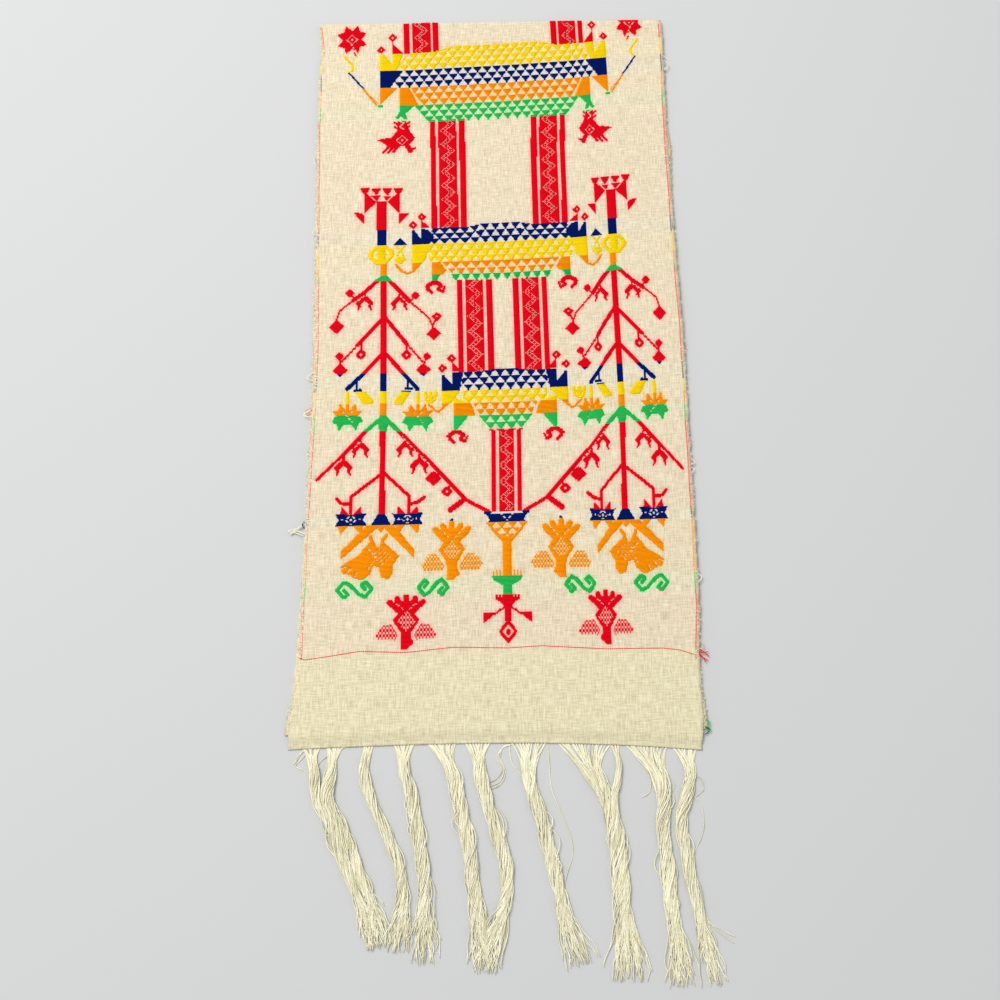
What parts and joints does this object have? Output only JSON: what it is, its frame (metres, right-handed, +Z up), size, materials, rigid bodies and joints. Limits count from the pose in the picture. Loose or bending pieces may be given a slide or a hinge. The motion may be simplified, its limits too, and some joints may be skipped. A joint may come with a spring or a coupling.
{
  "type": "woven table runner",
  "caption": "Long brocaded cotton table runner with knotless fringed ends, folded in three and lying flat.",
  "frame": {"origin": "on the underside of the lowest layer of cloth, on the runner's centre line", "axes": "+Y along the runner from the fringed end that shows to the clean fold, +Z up out of the cloth, +X to the right with the fringe towards the viewer"},
  "size_m": [0.3851, 0.9387, 0.005],
  "materials": {
    "cloth": "unbleached cotton tabby with coloured weft brocade",
    "fringe": "loosely twisted unbleached cotton yarn",
    "yarn_red": "soft cotton weft yarn",
    "yarn_navy": "soft cotton weft yarn",
    "yarn_yellow": "soft cotton weft yarn",
    "yarn_orange": "soft cotton weft yarn",
    "yarn_green": "soft cotton weft yarn"
  },
  "bodies": {
    "root": {"cloth": "cloth", "fringe_near": "fringe", "fringe_hidden": "fringe"}
  },
  "joints": []
}
